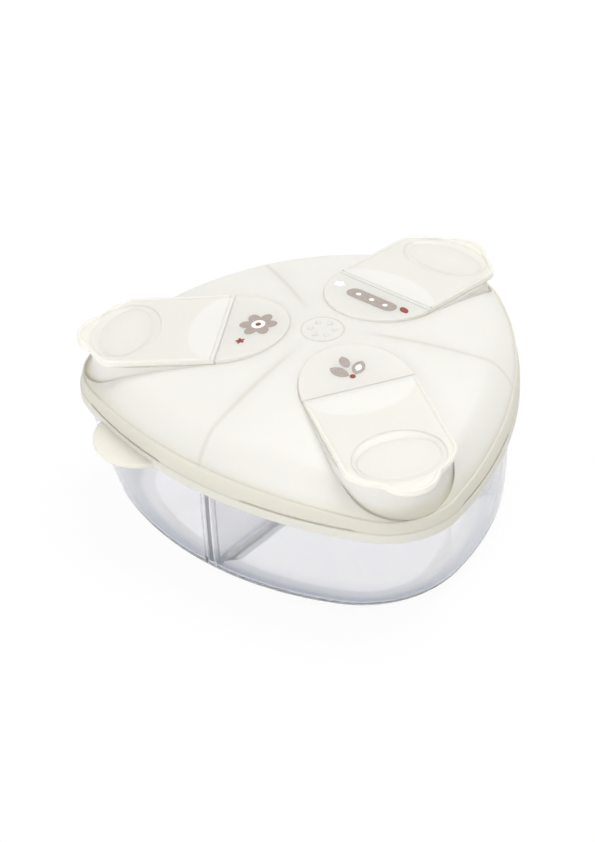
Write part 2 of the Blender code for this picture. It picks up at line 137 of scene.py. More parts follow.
WEB_HEIGHT = 0.0006

FIT_GAP = 0.0003
POCKET_GAP = 0.0001
OVERRUN = 0.0020
WELD = 0.000001

# Prints and the mark in the middle
PRINT_LIFT = 0.00002
PRINT_THICKNESS = 0.00004
FLOWER_PETALS = 6
FLOWER_REACH = 0.0036
FLOWER_DEPTH = 0.0022
STAR_POINTS = 5
STAR_REACH = 0.0006
STAR_DEPTH = 0.0007
DISC_RADIUS = 0.0010
LEAF_RADIUS = 0.0042
LEAF_SHIFT = 0.0020
PILL_RADIUS = 0.0027
PILL_SHIFT = 0.0062
MARK_RADIUS = 0.0066
MARK_LINE = 0.0005
MARK_HEIGHT = 0.0001
MARK_DOT = 0.0009
MARK_DOT_REACH = 0.0036
MARK_DOTS = 6

# How gently the shoulder leaves the ledge: 1 is a quarter ellipse
SHOULDER_SOFTNESS = 1.5

# Milky plastic: painted shade on the skirt by height, painted shade lines over the ribs, and
# painted light over pads at the hinges
FLANGE_SHADE_TOP = 0.0360
BAND_SHADE_START = 0.0372
BAND_SHADE_END = 0.0400
DOME_UNSHADED_START = 0.0450
FLANGE_SHADE_SHARE = 0.6
RIB_LINE_CORE = 0.0001
RIB_LINE_HALF = 0.0012
RIB_LINE_START = 0.010
RIB_LINE_FULL = 0.022
RIB_LINE_FOOT = 0.0412
LIT_PAD_INNER_SHARE = 0.94
LIT_PAD_OUTER_SHARE = 1.02
MILKY_INSIDE_SHARE = 0.3
MILKY_THROUGH_SHARE = 0.4
MILKY_DEPTHS = (0.004, 0.0035, 0.0025)
SOFT_EDGE = 0.0006

# Clear plastic: what it takes from the light, per metre, and the height of the painted shade at its
# foot
CLEAR_DENSITY = 11.0
CLEAR_FOOT_SHADE_START = 0.001
CLEAR_FOOT_SHADE_END = 0.016

# Studio: strengths, reach in metres, and lamps with their place, size and power
WORLD_LIGHT = 0.55
FLOOR_REACH = 3.0
FLOOR_STRAIGHT_SHARE = 0.94
FLOOR_BENT_SHARE = 0.74
LAMP_AIM = (0, 0, 0.03)
LAMPS = (
    ("key", (0.42, 0.15, 1.12), 0.9, 10.4),
    ("fill", (-1.05, -0.70, 0.38), 0.8, 7.6),
)

# Angles and counts
ARM_NAMES = ("front", "right", "left")
SIDES = len(ARM_NAMES)
FIRST_ARM_ANGLE = math.radians(-90)
ARM_STEP = math.tau / SIDES
ARM_SLOPE = math.radians(7.13)
TAB_ANGLE = math.radians(178.6)
SLOT_START = math.radians(15)
SLOT_END = math.radians(46)
SMOOTH_ANGLE = math.radians(35)
LEAF_START = math.radians(28)
LEAF_END = math.radians(152)
CORNER_STEPS = 16
SIDE_STEPS = 22
ROUND_STEPS = 4
SHOULDER_STEPS = 10
CROWN_STEPS = 18
WALL_STEPS = 8
OVAL_STEPS = 72
END_ARC_STEPS = 16
SMALL_ARC_STEPS = 8
INNER_END_STEPS = 24
FILLET_STEPS = 8
PRINT_STEPS = 24
PILL_STEPS = 16
RIB_RINGS = slice(SHOULDER_STEPS + 2, -3)

# Shares of the sizes that they follow: down the towers, and outward and down in the finger dish
FLARE_SHARES = (
    (1.0, 1.0), (0.96, 0.84), (0.90, 0.63), (0.80, 0.38), (0.66, 0.19), (0.48, 0.07), (0.25, 0.01),
    (0.0, 0.0),
)
DISH_SHARES = (
    (-0.14, 1.0), (-0.03, 1.25), (0.06, 1.25), (0.16, 0.9), (0.84, 0.25), (0.94, 0.5), (1.02, 0.5),
    (1.1, 0.0),
)

# Shares of the base's flat part at which it has rings
BASE_SHARES = (0.0, 0.5, 0.9)


def linear(code):
    """Linear colour from an sRGB hex code."""
    values = [int(code[place:place + 2], 16) / 255 for place in (1, 3, 5)]
    return (*[v / 12.92 if v <= 0.04045 else ((v + 0.055) / 1.055) ** 2.4 for v in values], 1.0)


def add_node(tree, kind, settings=None, **links):
    """One node with its settings; a link is a socket, anything else is a socket's value."""
    node = tree.nodes.new(kind)
    for name, value in (settings or {}).items():
        setattr(node, name, value)
    for name, value in links.items():
        place = int(name[1:]) if name[1:].isdigit() else name.replace("_", " ")
        socket = node.inputs[place]
        if isinstance(value, bpy.types.NodeSocket):
            tree.links.new(value, socket)
        else:
            socket.default_value = value
    return node


# Plan shapes

def polar(reach, angle):
    return Vector((reach * math.cos(angle), reach * math.sin(angle)))


def between(start, end, share):
    return start + (end - start) * share


def arc(middle, radius, start, end, steps):
    turns = [between(start, end, step / steps) for step in range(steps + 1)]
    return [Vector(middle) + polar(radius, turn) for turn in turns]


def oval(centre, half_length, half_width):
    turns = [math.tau * step / OVAL_STEPS for step in range(OVAL_STEPS)]
    return [
        Vector((centre + half_length * math.cos(turn), half_width * math.sin(turn)))
        for turn in turns
    ]


def offset_line(points, distance, closed=False):
    """The line moved to its right, so that a counter-clockwise outline grows."""
    moved = []
    for index, point in enumerate(points):
        before = points[index - 1] if closed or index else point
        after = points[(index + 1) % len(points)] if closed or point is not points[-1] else point
        along = (after - before).normalized()
        moved.append(point + Vector((along.y, -along.x)) * distance)
    return moved


def both_sides(half):
    """A whole counter-clockwise outline from its half on the positive side of an arm."""
    joined = [Vector((point.x, -point.y)) for point in reversed(half)] + half
    return [
        point for index, point in enumerate(joined) if (point - joined[index - 1]).length > WELD
    ]


class Outline:
    """A triangle with bowed sides and round corners, seen from above."""

    def __init__(self, corner, bow, radius):
        self.corner = corner
        self.bow = bow
        self.radius = radius
        self.side = (corner + radius) / 2 + bow

    def inset(self, distance):
        return Outline(self.corner - distance, self.bow, self.radius - distance)

    def mixed(self, other, share):
        return Outline(
            between(self.corner, other.corner, share),
            between(self.bow, other.bow, share),
            between(self.radius, other.radius, share),
        )

    def points(self):
        out = self.corner - self.radius
        across = self.side - self.radius
        back = (out**2 - across**2) / (2 * self.bow)
        half_step = ARM_STEP / 2
        turn = math.atan2(back * math.sin(half_step), out + back * math.cos(half_step))
        found = []
        for corner in range(SIDES):
            facing = FIRST_ARM_ANGLE + corner * ARM_STEP
            start, end = facing - turn, facing + turn
            found += arc(polar(out, facing), self.radius, start, end, 2 * CORNER_STEPS)
            middle = polar(-back, facing + half_step)
            start, end = facing + turn, facing + ARM_STEP - turn
            found += arc(middle, self.side + back, start, end, 2 * SIDE_STEPS)[1:-1]
        return found


LID_OUTLINE = Outline(LID_CORNER, LID_BOW, LID_CORNER_RADIUS)
RIM_OUTLINE = LID_OUTLINE.inset(BAND_INSET + LID_WALL + FIT_GAP)
RIM_HEIGHT = LID_BASE + LEDGE_HEIGHT - LID_WALL - 2 * FIT_GAP
BASE_CORNER = RIM_OUTLINE.corner - BASE_CORNER_DRAFT
BASE_SIDE = RIM_OUTLINE.side - BASE_SIDE_DRAFT
BASE_BOW = BASE_SIDE - (BASE_CORNER + BASE_CORNER_RADIUS) / 2
BASE_OUTLINE = Outline(BASE_CORNER, BASE_BOW, BASE_CORNER_RADIUS)
ARM_HALF_WIDTH = CAP_HALF_WIDTH + ARM_MARGIN
ARM_FLOOR_DROP = CAP_THICKNESS + POCKET_GAP
RECESS_FLOOR = LID_BASE + LEDGE_HEIGHT - RECESS_DEPTH


def crown_height(reach):
    """Height of the dome away from its shoulder."""
    return LID_BASE + DOME_TOP - reach**2 / (2 * DOME_RADIUS)


def arm_height(reach):
    """Height of the plates' and caps' top face, which falls towards the corner."""
    hinge_height = crown_height(HINGE_REACH) + HINGE_RISE
    return hinge_height - math.tan(ARM_SLOPE) * (reach - HINGE_REACH)


def at_height(points, height):
    return [(*point, height) for point in points]


def ledge_height(outline, point):
    """Height of the skirt's top, which is lowest at the corners."""
    share = (outline.corner - point.length) / (outline.corner - outline.side)
    return LID_BASE + LEDGE_HEIGHT + LEDGE_SIDE_RISE * share


def in_slot(point):
    """Whether a point of the skirt lies in one of the slots beside the middle of a side."""
    turn = (math.atan2(point.y, point.x) - FIRST_ARM_ANGLE) % ARM_STEP
    return SLOT_START < abs(turn - ARM_STEP / 2) < SLOT_END


def quarter(width, height):
    """Points of a quarter turn as inward and upward steps, from the side over to the top."""
    turns = [math.pi / 2 * step / ROUND_STEPS for step in range(ROUND_STEPS + 1)]
    return [(width * (1 - math.cos(turn)), height * math.sin(turn)) for turn in turns]


def skirt_rings():
    """Rings up the skirt: round flange, band with its slots, bead and the ledge behind it."""
    rings = []
    rounding = quarter(FLANGE_ROUND, FLANGE_ROUND)
    top = FLANGE_HEIGHT - FLANGE_ROUND
    flange = [(inward, FLANGE_ROUND - upward) for inward, upward in reversed(rounding)]
    flange += [(inward, top + upward) for inward, upward in rounding]
    for inset, height in flange:
        rings.append(at_height(LID_OUTLINE.inset(inset).points(), LID_BASE + height))
    band = LID_OUTLINE.inset(BAND_STEP).points()
    slot = LID_OUTLINE.inset(BAND_STEP + SLOT_DEPTH).points()
    for rise, deep in ((0, False), (0, True), (SLOT_HEIGHT, True), (SLOT_HEIGHT, False)):
        rings.append([
            (*(inner if deep and in_slot(outer) else outer), LID_BASE + FLANGE_HEIGHT + rise)
            for outer, inner in zip(band, slot)
        ])
    for inward, upward in quarter(BEAD_INSET - BAND_INSET, BEAD_HEIGHT):
        outline = LID_OUTLINE.inset(BAND_INSET + inward)
        rings.append([
            (*point, ledge_height(outline, point) - BEAD_HEIGHT + upward)
            for point in outline.points()
        ])
    return rings


def inner_skirt_rings():
    """Rings up the inside of the skirt, from below the flange."""
    rings = []
    for inset, height in (
        (0, -OVERRUN),
        (0, FLANGE_HEIGHT - LID_WALL - FLANGE_ROUND),
        (BAND_INSET, FLANGE_HEIGHT - LID_WALL),
        (BAND_INSET, LEDGE_HEIGHT - LID_WALL - BEAD_HEIGHT),
    ):
        rings.append(at_height(LID_OUTLINE.inset(LID_WALL + inset).points(), LID_BASE + height))
    return rings


def crown_rings(depth):
    """Rings over the shoulder to the dome's middle, or some depth inside them."""
    rings = []
    for step in range(SHOULDER_STEPS + 1):
        share = 1 - math.cos(math.pi / 2 * step / SHOULDER_STEPS)
        rise = math.sin(math.pi / 2 * step / SHOULDER_STEPS) ** SHOULDER_SOFTNESS
        outline = LID_OUTLINE.inset(depth + LEDGE_INSET + SHOULDER_WIDTH * share)
        edge = outline.points()
        ring = []
        for point in edge:
            top = between(ledge_height(outline, point), crown_height(point.length), rise)
            ring.append((*point, top - depth))
        rings.append(ring)
    for step in range(1, CROWN_STEPS + 1):
        ring = [point * (1 - step / CROWN_STEPS) for point in edge]
        rings.append([(*point, crown_height(point.length) - depth) for point in ring])
    return rings


def bowl_rings(depth):
    """Rings from the middle of the base out and up the wall to the rim, some depth inside it."""
    flat = BASE_OUTLINE.inset(BASE_FILLET_WIDTH).points()
    rings = [at_height([point * share for point in flat], depth) for share in BASE_SHARES]
    for step in range(SHOULDER_STEPS + 1):
        turn = math.pi / 2 * step / SHOULDER_STEPS
        inset = BASE_FILLET_WIDTH * (1 - math.sin(turn)) + depth * math.sin(turn)
        height = BASE_FILLET_HEIGHT * (1 - math.cos(turn)) + depth * math.cos(turn)
        rings.append(at_height(BASE_OUTLINE.inset(inset).points(), height))
    for step in range(1, WALL_STEPS + 1):
        share = step / WALL_STEPS
        outline = BASE_OUTLINE.mixed(RIM_OUTLINE, share + WALL_BULGE * math.sin(math.pi * share))
        height = between(BASE_FILLET_HEIGHT, RIM_HEIGHT, share)
        rings.append(at_height(outline.inset(depth).points(), height))
    return rings


def section(rings):
    """Reach and height of each ring at the middle of a side."""
    column = 2 * CORNER_STEPS + SIDE_STEPS
    return [Vector((Vector(ring[column][:2]).length, ring[column][2])) for ring in rings]


def rounded_end(half_width, centre, spread, corner_radius, start, steps):
    """An arm's end arc from a start angle, and the corner into its straight side."""
    radius = half_width + spread
    aside = half_width - corner_radius
    out = math.sqrt((radius - corner_radius) ** 2 - aside**2)
    turn = math.atan2(aside, out)
    corner = arc((centre + out, aside), corner_radius, turn, math.pi / 2, SMALL_ARC_STEPS)
    return arc((centre, 0), radius, start, turn, steps) + corner[1:]


def round_inner_end(length, half_width):
    """A quarter ellipse from the hinge line to the middle of the arm."""
    turns = [math.pi / 2 * step / INNER_END_STEPS for step in range(INNER_END_STEPS + 1)]
    return [
        Vector((HINGE_REACH - length * math.sin(turn), half_width * math.cos(turn)))
        for turn in turns
    ]


def cap_outline():
    """The flip cap's edge: lip, notches, end arc, corners and straight sides to the hinge."""
    spread = LIP_CENTRE - CAP_END_CENTRE
    outer = CAP_HALF_WIDTH + CAP_END_SPREAD + LIP_NOTCH_RADIUS
    inner = LIP_RADIUS + LIP_NOTCH_RADIUS
    out = (spread**2 + outer**2 - inner**2) / (2 * spread)
    aside = math.sqrt(outer**2 - out**2)
    at_end = math.atan2(aside, out)
    at_lip = math.atan2(aside, out - spread)
    lip = arc((LIP_CENTRE, 0), LIP_RADIUS, 0, at_lip, END_ARC_STEPS)
    notch_centre = (CAP_END_CENTRE + out, aside)
    notch = arc(
        notch_centre, LIP_NOTCH_RADIUS, math.pi + at_lip, math.pi + at_end, SMALL_ARC_STEPS
    )
    end = rounded_end(
        CAP_HALF_WIDTH, CAP_END_CENTRE, CAP_END_SPREAD, CAP_CORNER_RADIUS, at_end, SMALL_ARC_STEPS
    )
    hinge_side = Vector((HINGE_REACH + FIT_GAP / 2, CAP_HALF_WIDTH))
    return both_sides(lip + notch[1:] + end[1:] + [hinge_side])


def arm_outline(grow):
    """The raised arm's edge: round inner end, straight sides and the spout's round end."""
    half_width = ARM_HALF_WIDTH + grow
    end = rounded_end(
        half_width, ARM_END_CENTRE, ARM_END_SPREAD, ARM_CORNER_RADIUS + grow, 0, END_ARC_STEPS
    )
    length = HINGE_REACH - PLATE_INNER + ARM_MARGIN + grow
    return both_sides(end + round_inner_end(length, half_width))


def recess_outline(grow):
    """The round cut in the dome's shoulder around an arm's outer end."""
    half_width = ARM_HALF_WIDTH - RECESS_STEP + grow
    end = arc((RECESS_END_CENTRE, 0), half_width, 0, math.pi / 2, 2 * END_ARC_STEPS)
    return both_sides(end + [Vector((RECESS_END_CENTRE - grow, half_width))])


def on_slope(points):
    """Plan points as places on the arm's sloping top, measured from the hinge line."""
    return [Vector(((point.x - HINGE_REACH) / math.cos(ARM_SLOPE), point.y)) for point in points]


# Mesh tools

def add_object(name, mesh):
    made = bpy.data.objects.new(name, mesh)
    bpy.context.scene.collection.objects.link(made)
    return made


def to_mesh(name, build):
    bmesh.ops.remove_doubles(build, verts=build.verts, dist=WELD)
    bmesh.ops.recalc_face_normals(build, faces=build.faces)
    mesh = bpy.data.meshes.new(name)
    build.to_mesh(mesh)
    build.free()
    return mesh


def lofted(name, rings, cap_low=False, cap_high=False):
    """Faces between rings; a ring that shrinks to one point closes the surface there."""
    build = bmesh.new()
    rows = [[build.verts.new(point) for point in ring] for ring in rings]
    for low, high in zip(rows, rows[1:]):
        for index in range(len(low)):
            after = (index + 1) % len(low)
            build.faces.new((low[index], low[after], high[after], high[index]))
    if cap_low:
        build.faces.new(reversed(rows[0]))
    if cap_high:
        build.faces.new(rows[-1])
    return add_object(name, to_mesh(name, build))


def filled(name, rings):
    """A closed body between its first and its last ring."""
    return lofted(name, rings, cap_low=True, cap_high=True)


def flat_shape(name, outlines, thickness):
    """Flat outlines with a thickness, centred on their plane; an inner outline is a hole."""
    curve = bpy.data.curves.new(name, "CURVE")
    curve.dimensions = "2D"
    curve.fill_mode = "BOTH"
    curve.extrude = thickness / 2
    for points in outlines:
        spline = curve.splines.new("POLY")
        spline.points.add(len(points) - 1)
        for target, point in zip(spline.points, points):
            target.co = (*point, 0, 1)
        spline.use_cyclic_u = True
    drawn = add_object(name, curve)
    build = bmesh.new()
    build.from_mesh(evaluated_mesh(drawn))
    bpy.data.objects.remove(drawn)
    return add_object(name, to_mesh(name, build))


def evaluated_mesh(obj):
    """The object's mesh with its modifiers applied."""
    bpy.context.view_layer.update()
    graph = bpy.context.evaluated_depsgraph_get()
    return bpy.data.meshes.new_from_object(obj.evaluated_get(graph))


def apply_steps(obj, helpers=()):
    """Apply the object's modifiers and remove the helpers that they used."""
    mesh = evaluated_mesh(obj)
    obj.modifiers.clear()
    obj.data = mesh
    for helper in helpers:
        bpy.data.objects.remove(helper)
    return obj


def combine(obj, other, operation):
    step = obj.modifiers.new(other.name, "BOOLEAN")
    step.operation = operation
    step.solver = "EXACT"
    step.object = other
    return other


def copies_tree():
    """Geometry Nodes: copies of a piece, turned in equal steps about the middle."""
    tree = bpy.data.node_groups.new("copies_around", "GeometryNodeTree")
    face = tree.interface
    face.new_socket("Geometry", in_out="INPUT", socket_type="NodeSocketGeometry")
    face.new_socket("Count", in_out="INPUT", socket_type="NodeSocketInt")
    face.new_socket("First turn", in_out="INPUT", socket_type="NodeSocketFloat")
    face.new_socket("Material", in_out="INPUT", socket_type="NodeSocketMaterial")
    face.new_socket("Geometry", in_out="OUTPUT", socket_type="NodeSocketGeometry")
    given = add_node(tree, "NodeGroupInput").outputs
    places = add_node(tree, "GeometryNodeMeshLine", Count=given["Count"], Offset=(0, 0, 0))
    number = add_node(tree, "GeometryNodeInputIndex").outputs["Index"]
    step = add_node(tree, "ShaderNodeMath", {"operation": "DIVIDE"}, _0=math.tau, _1=given["Count"])
    turn = add_node(
        tree, "ShaderNodeMath", {"operation": "MULTIPLY_ADD"},
        _0=number, _1=step.outputs[0], _2=given["First turn"],
    )
    euler = add_node(tree, "ShaderNodeCombineXYZ", Z=turn.outputs[0])
    facing = add_node(tree, "FunctionNodeEulerToRotation", Euler=euler.outputs[0])
    copies = add_node(
        tree, "GeometryNodeInstanceOnPoints",
        Points=places.outputs[0], Instance=given["Geometry"], Rotation=facing.outputs[0],
    )
    real = add_node(tree, "GeometryNodeRealizeInstances", Geometry=copies.outputs[0])
    dressed = add_node(
        tree, "GeometryNodeSetMaterial", Geometry=real.outputs[0], Material=given["Material"]
    )
    add_node(tree, "NodeGroupOutput", Geometry=dressed.outputs[0])
    return tree


def copied_around(obj, material=None, count=SIDES, first_turn=FIRST_ARM_ANGLE):
    """The piece repeated about the middle, as a plain mesh."""
    step = obj.modifiers.new("copies", "NODES")
    step.node_group = COPIES
    values = {"Count": count, "First turn": first_turn, "Material": material}
    for socket in COPIES.interface.items_tree:
        if socket.in_out == "INPUT" and values.get(socket.name) is not None:
            step[socket.identifier] = values[socket.name]
    return apply_steps(obj)


COPIES = copies_tree()


# Materials

def new_material(name):
    made = bpy.data.materials.new(name)
    made.use_nodes = True
    return made, made.node_tree, made.node_tree.nodes["Principled BSDF"]


def set_shader(shader, **values):
    for name, value in values.items():
        shader.inputs[name.replace("_", " ")].default_value = value


def moulded_milky(name, codes, roughness, rib_and_skirt_shade=False, hinge_pad_light=False):
    """Injection-moulded milky polypropylene: satin, and light passes through it softly."""
    made, tree, shader = new_material(name)
    set_shader(
        shader, Roughness=roughness, IOR=1.49, Subsurface_Weight=MILKY_INSIDE_SHARE,
        Subsurface_Radius=MILKY_DEPTHS, Subsurface_Scale=1.0,
    )
    place = add_node(tree, "ShaderNodeTexCoord").outputs["Object"]
    # Flow of the plastic in the mould, in clouds of about 25 mm
    clouds = add_node(tree, "ShaderNodeTexNoise", Vector=place, Scale=40.0, Detail=2.0)
    tone = add_node(
        tree, "ShaderNodeMix", {"data_type": "RGBA"},
        Factor=clouds.outputs["Fac"], _6=linear(codes[0]), _7=linear(codes[1]),
    ).outputs[2]
    split = add_node(tree, "ShaderNodeSeparateXYZ", Vector=place)
    # Painted light: lighter half-ovals on the caps beside their hinges
    if hinge_pad_light:
        tone = hinge_glow(tree, place, tone, linear(codes[2]))
    if rib_and_skirt_shade:
        # Painted shade, deeper and yellower low on the lid where it turns down from the light; the
        # band also stands double over the bowl's rim. The flange gets only part of it, which paints
        # it lighter
        low = add_node(
            tree, "ShaderNodeMapRange", {"interpolation_type": "SMOOTHSTEP"},
            Value=split.outputs["Z"], From_Min=BAND_SHADE_END, From_Max=DOME_UNSHADED_START,
            To_Min=1.0, To_Max=0.0,
        )
        band = add_node(
            tree, "ShaderNodeMapRange", {"interpolation_type": "SMOOTHSTEP"},
            Value=split.outputs["Z"], From_Min=FLANGE_SHADE_TOP, From_Max=BAND_SHADE_START,
            To_Min=FLANGE_SHADE_SHARE, To_Max=1.0,
        )
        share = add_node(
            tree, "ShaderNodeMath", {"operation": "MULTIPLY"}, _0=low.outputs[0], _1=band.outputs[0]
        )
        tone = add_node(
            tree, "ShaderNodeMix", {"data_type": "RGBA"},
            Factor=share.outputs[0], _6=tone, _7=linear(codes[3]),
        ).outputs[2]
        # Painted shade along the ribs under the dome
        tone = rib_shadow(tree, place, tone, linear(codes[2]))
    tree.links.new(tone, shader.inputs["Base Color"])
    # Spark-eroded mould skin, about 0.5 mm apart so that it shows
    grain = add_node(tree, "ShaderNodeTexNoise", Vector=place, Scale=2000.0, Detail=3.0)
    edges = add_node(tree, "ShaderNodeBevel", {"samples": 6}, Radius=SOFT_EDGE)
    skin = add_node(
        tree, "ShaderNodeBump", Strength=0.12, Distance=0.00001,
        Height=grain.outputs["Fac"], Normal=edges.outputs[0],
    ).outputs[0]
    tree.links.new(skin, shader.inputs["Normal"])
    through = add_node(tree, "ShaderNodeBsdfTranslucent", Color=tone, Normal=skin)
    both = add_node(
        tree, "ShaderNodeMixShader",
        _0=MILKY_THROUGH_SHARE, _1=shader.outputs[0], _2=through.outputs[0],
    )
    tree.links.new(both.outputs[0], tree.nodes["Material Output"].inputs["Surface"])
    return made


def turned_parts(tree, place, turn):
    """Coordinates along and across a direction from the middle."""
    turned = add_node(
        tree, "ShaderNodeVectorRotate", {"rotation_type": "Z_AXIS"}, Vector=place, Angle=-turn
    )
    return add_node(tree, "ShaderNodeSeparateXYZ", Vector=turned.outputs[0]).outputs


def hinge_glow(tree, place, tone, light):
    """Painted light: a lighter half-oval on each cap beside its hinge, standing in for light that
    shows through the cap over a pad beneath.
    """
    brightest = None
    for arm in range(SIDES):
        parts = turned_parts(tree, place, FIRST_ARM_ANGLE + ARM_STEP * arm)
        along = add_node(
            tree, "ShaderNodeMapRange", {"clamp": False},
            Value=parts["X"], From_Min=HINGE_REACH, From_Max=HINGE_REACH + LIT_PAD_LENGTH,
        )
        across = add_node(
            tree, "ShaderNodeMapRange", {"clamp": False}, Value=parts["Y"], From_Max=CAP_HALF_WIDTH
        )
        spot = add_node(tree, "ShaderNodeCombineXYZ", X=along.outputs[0], Y=across.outputs[0])
        away = add_node(tree, "ShaderNodeVectorMath", {"operation": "LENGTH"}, _0=spot.outputs[0])
        inside = add_node(
            tree, "ShaderNodeMapRange", {"interpolation_type": "SMOOTHSTEP"},
            Value=away.outputs["Value"], From_Min=LIT_PAD_INNER_SHARE, From_Max=LIT_PAD_OUTER_SHARE,
            To_Min=1.0, To_Max=0.0,
        ).outputs[0]
        brightest = inside if brightest is None else add_node(
            tree, "ShaderNodeMath", {"operation": "MAXIMUM"}, _0=brightest, _1=inside
        ).outputs[0]
    return add_node(
        tree, "ShaderNodeMix", {"data_type": "RGBA"}, Factor=brightest, _6=tone, _7=light
    ).outputs[2]


def rib_shadow(tree, place, tone, shade):
    """Painted shade: soft darker lines along the sides' middles, where the ribs under the dome show
    through it.
    """
    darkest = None
    for side in range(SIDES):
        split = turned_parts(tree, place, FIRST_ARM_ANGLE + ARM_STEP * side + ARM_STEP / 2)
        aside = add_node(tree, "ShaderNodeMath", {"operation": "ABSOLUTE"}, _0=split["Y"])
        line = add_node(
            tree, "ShaderNodeMapRange", {"interpolation_type": "SMOOTHSTEP"},
            Value=aside.outputs[0], From_Min=RIB_LINE_CORE, From_Max=RIB_LINE_HALF,
            To_Min=1.0, To_Max=0.0,
        )
        outward = add_node(
            tree, "ShaderNodeMapRange", {"interpolation_type": "SMOOTHSTEP"},
            Value=split["X"], From_Min=RIB_LINE_START, From_Max=RIB_LINE_FULL,
        )
        above = add_node(
            tree, "ShaderNodeMath", {"operation": "GREATER_THAN"}, _0=split["Z"], _1=RIB_LINE_FOOT
        )
        both = add_node(
            tree, "ShaderNodeMath", {"operation": "MULTIPLY"},
            _0=line.outputs[0], _1=outward.outputs[0],
        ).outputs[0]
        both = add_node(
            tree, "ShaderNodeMath", {"operation": "MULTIPLY"}, _0=both, _1=above.outputs[0]
        ).outputs[0]
        darkest = both if darkest is None else add_node(
            tree, "ShaderNodeMath", {"operation": "MAXIMUM"}, _0=darkest, _1=both
        ).outputs[0]
    return add_node(
        tree, "ShaderNodeMix", {"data_type": "RGBA"}, Factor=darkest, _6=tone, _7=shade
    ).outputs[2]


def moulded_clear(name, codes, roughness, clearness):
    """Injection-moulded clear polypropylene: glossy, hazy, and bluer where it is thicker, with
    painted shade that makes its round foot darker and bluer.
    """
    made, tree, shader = new_material(name)
    set_shader(shader, Roughness=roughness, IOR=1.49, Transmission_Weight=clearness)
    place = add_node(tree, "ShaderNodeTexCoord").outputs["Object"]
    # Painted shade: the round foot is darker and bluer, fading out up the wall, while flat floors
    # keep the clear tone
    split = add_node(tree, "ShaderNodeSeparateXYZ", Vector=place)
    rise = add_node(
        tree, "ShaderNodeMapRange", {"interpolation_type": "SMOOTHSTEP"},
        Value=split.outputs["Z"], From_Min=CLEAR_FOOT_SHADE_START, From_Max=CLEAR_FOOT_SHADE_END,
    )
    facing = add_node(tree, "ShaderNodeNewGeometry").outputs["Normal"]
    upward = add_node(tree, "ShaderNodeSeparateXYZ", Vector=facing).outputs["Z"]
    level = add_node(tree, "ShaderNodeMath", {"operation": "ABSOLUTE"}, _0=upward)
    flat = add_node(
        tree, "ShaderNodeMapRange", {"interpolation_type": "SMOOTHSTEP"},
        Value=level.outputs[0], From_Min=0.96, From_Max=0.995,
    )
    thin = add_node(
        tree, "ShaderNodeMath", {"operation": "MAXIMUM"}, _0=rise.outputs[0], _1=flat.outputs[0]
    )
    tone = add_node(
        tree, "ShaderNodeMix", {"data_type": "RGBA"},
        Factor=thin.outputs[0], _6=linear(codes[1]), _7=linear(codes[0]),
    )
    tree.links.new(tone.outputs[2], shader.inputs["Base Color"])
    # Sink marks and flow, about 12 mm apart
    waves = add_node(tree, "ShaderNodeTexNoise", Vector=place, Scale=80.0, Detail=1.0)
    skin = add_node(
        tree, "ShaderNodeBump", Strength=0.2, Distance=0.0002, Height=waves.outputs["Fac"]
    )
    tree.links.new(skin.outputs[0], shader.inputs["Normal"])
    depth = add_node(
        tree, "ShaderNodeVolumeAbsorption", Color=linear("#BCBFC8"), Density=CLEAR_DENSITY
    )
    tree.links.new(depth.outputs[0], tree.nodes["Material Output"].inputs["Volume"])
    return made


def printed_ink(name, code):
    """Pad-printed ink: flat colour with the fine unevenness of a thin coat."""
    made, tree, shader = new_material(name)
    set_shader(shader, Roughness=0.5, IOR=1.5)
    place = add_node(tree, "ShaderNodeTexCoord").outputs["Object"]
    # Thin spots in the coat, about 1 mm apart
    spots = add_node(tree, "ShaderNodeTexNoise", Vector=place, Scale=1000.0, Detail=2.0)
    pale = add_node(
        tree, "ShaderNodeMix", {"data_type": "RGBA"}, _6=linear(code), _7=linear("#FFFFFF"),
    )
    share = add_node(
        tree, "ShaderNodeMapRange",
        Value=spots.outputs["Fac"], From_Min=0.4, From_Max=0.8, To_Max=0.08,
    )
    tree.links.new(share.outputs[0], pale.inputs["Factor"])
    tree.links.new(pale.outputs[2], shader.inputs["Base Color"])
    return made


# Colours: two tones of the moulding, then the painted rib shade or the painted light over the hinge
# pads, then the painted shade of the skirt
IVORY_LID = moulded_milky(
    "polypropylene_milky_lid", ("#F7F6F1", "#F6F4EF", "#EDEAE3", "#EEEBE0"), 0.38, rib_and_skirt_shade=True
)
IVORY_PLATE = moulded_milky("polypropylene_milky_plate", ("#F5F4EF", "#F3F1EC"), 0.32)
IVORY_CAP = moulded_milky(
    "polypropylene_milky_cap", ("#F5F4EE", "#F4F2EC", "#F9F8F4"), 0.30, hinge_pad_light=True
)
# Colours: the walls, then the painted shade of the foot
CLEAR_BOWL = moulded_clear("polypropylene_clear_bowl", ("#FAFAFC", "#D3D7E0"), 0.06, 0.95)
CLEAR_DIVIDER = moulded_clear("polypropylene_clear_divider", ("#FAFAFC", "#E6E8EE"), 0.12, 0.84)
TAUPE_INK = printed_ink("ink_taupe", "#9C9189")
RED_INK = printed_ink("ink_brown_red", "#7E2806")
WHITE_INK = printed_ink("ink_white", "#FBFBF8")


# Pieces

def arm_turn(arm):
    return Matrix.Rotation(arm * ARM_STEP + FIRST_ARM_ANGLE, 4, "Z")


def hinge_frame(arm):
    """Origin on the hinge line, first axis down the slope, second axis along the hinge."""
    place = Matrix.Translation((HINGE_REACH, 0, arm_height(HINGE_REACH)))
    return arm_turn(arm) @ place @ Matrix.Rotation(ARM_SLOPE, 4, "Y")


